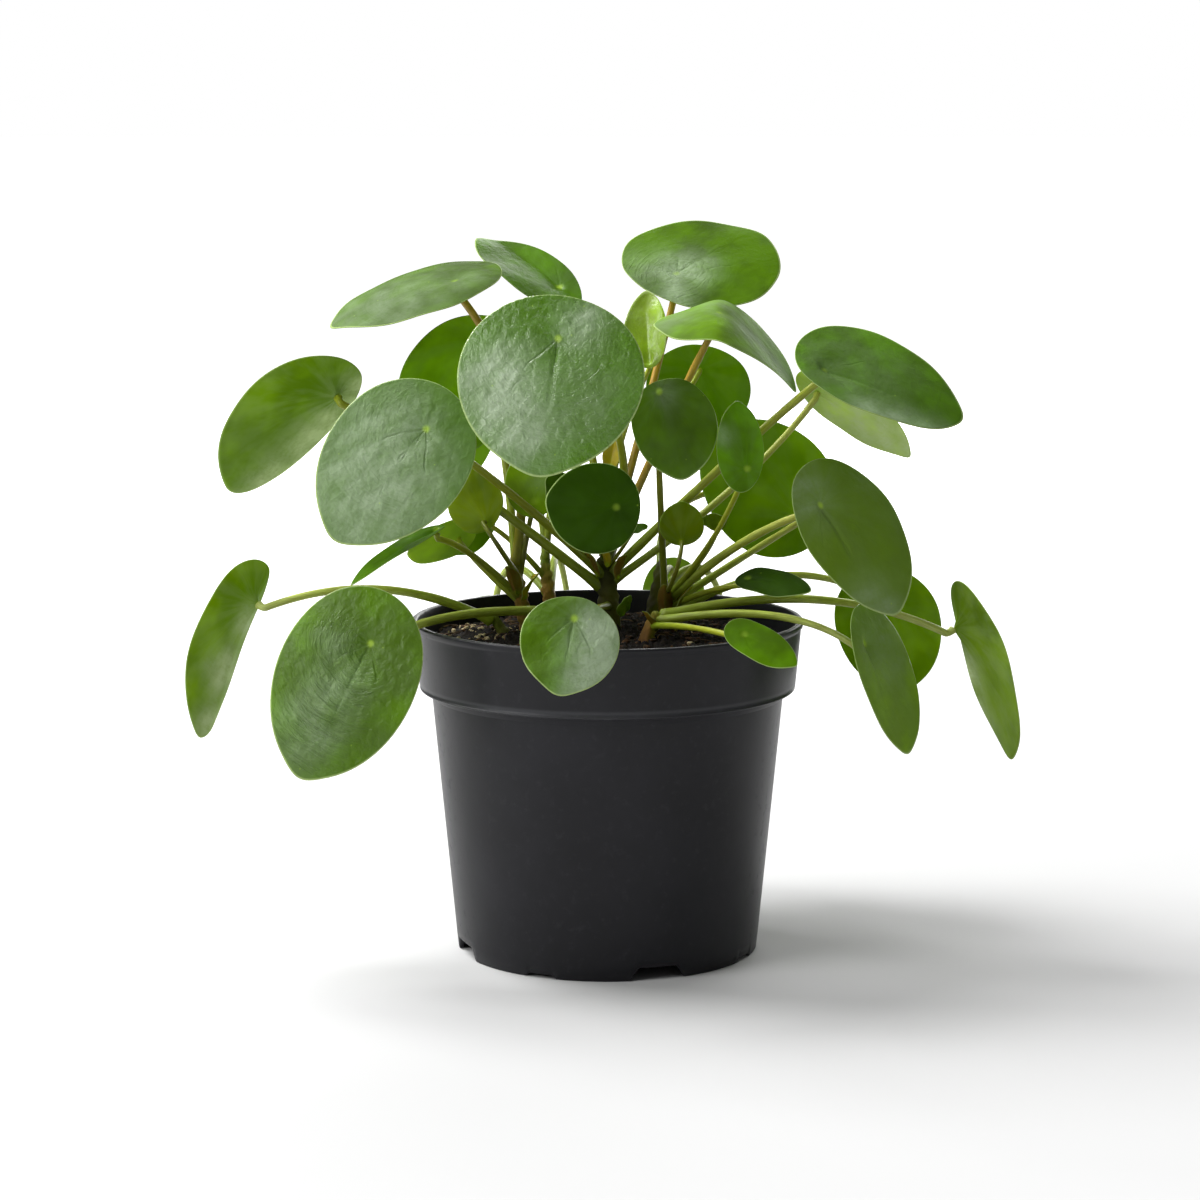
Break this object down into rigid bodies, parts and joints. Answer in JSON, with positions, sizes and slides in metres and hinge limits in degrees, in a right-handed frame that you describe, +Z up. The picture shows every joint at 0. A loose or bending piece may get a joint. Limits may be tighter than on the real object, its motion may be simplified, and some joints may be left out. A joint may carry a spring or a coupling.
{
  "type": "potted pilea plant",
  "caption": "Leafy pilea house plant with round peltate leaves on long stalks, standing in soil in a tapered nursery pot with a stepped rim band.",
  "frame": {"origin": "middle of the pot's foot, on the surface that the pot stands on", "axes": "+Z up, +X to the right and -Y towards the viewer when the plant's front is seen"},
  "size_m": [0.3156, 0.2233, 0.276],
  "materials": {
    "leaf": "satin living leaf, paler and duller on the underside",
    "stalk": "smooth living stalk, green to reddish brown, brown and barky at the stems",
    "pot": "satin anthracite moulded plastic",
    "soil": "dark crumbly potting mix with perlite and fibres"
  },
  "bodies": {
    "root": {"pot": "pot", "soil": "soil", "shoot_main": "stalk", "shoot_left": "stalk", "shoot_front_left": "stalk", "shoot_right": "stalk", "shoot_front_right": "stalk", "shoot_back_left": "stalk", "shoot_back_right": "stalk", "leaf_top_right": "leaf", "leaf_waved": "leaf", "leaf_high_right": "leaf", "leaf_under_right": "leaf", "leaf_behind_waved": "leaf", "leaf_young": "leaf", "leaf_front_big": "leaf", "leaf_dark_oval": "leaf", "leaf_folded": "leaf", "leaf_back_right": "leaf", "leaf_right_big": "leaf", "leaf_back_left": "leaf", "leaf_top_left": "leaf", "leaf_top_folded": "leaf", "leaf_far_left": "leaf", "leaf_left_big": "leaf", "leaf_left_thin": "leaf", "leaf_pale_left": "leaf", "leaf_round_left": "leaf", "leaf_olive_left": "leaf", "leaf_small_mid": "leaf", "leaf_shade_mid": "leaf", "leaf_dark_mid": "leaf", "leaf_olive_mid": "leaf", "leaf_bud_right": "leaf", "leaf_bud_mid": "leaf", "leaf_far_left_low": "leaf", "leaf_left_low": "leaf", "leaf_front_small": "leaf", "leaf_thin_right": "leaf", "leaf_small_right": "leaf", "leaf_right_low": "leaf", "leaf_behind_low": "leaf", "leaf_far_right": "leaf", "leaf_over_rim": "leaf", "leaf_back_low_left": "leaf", "leaf_back_low_mid": "leaf", "leaf_back_low_right": "leaf", "leaf_back_high_left": "leaf", "leaf_back_high_mid": "leaf", "leaf_back_mid_right": "leaf"}
  },
  "joints": []
}
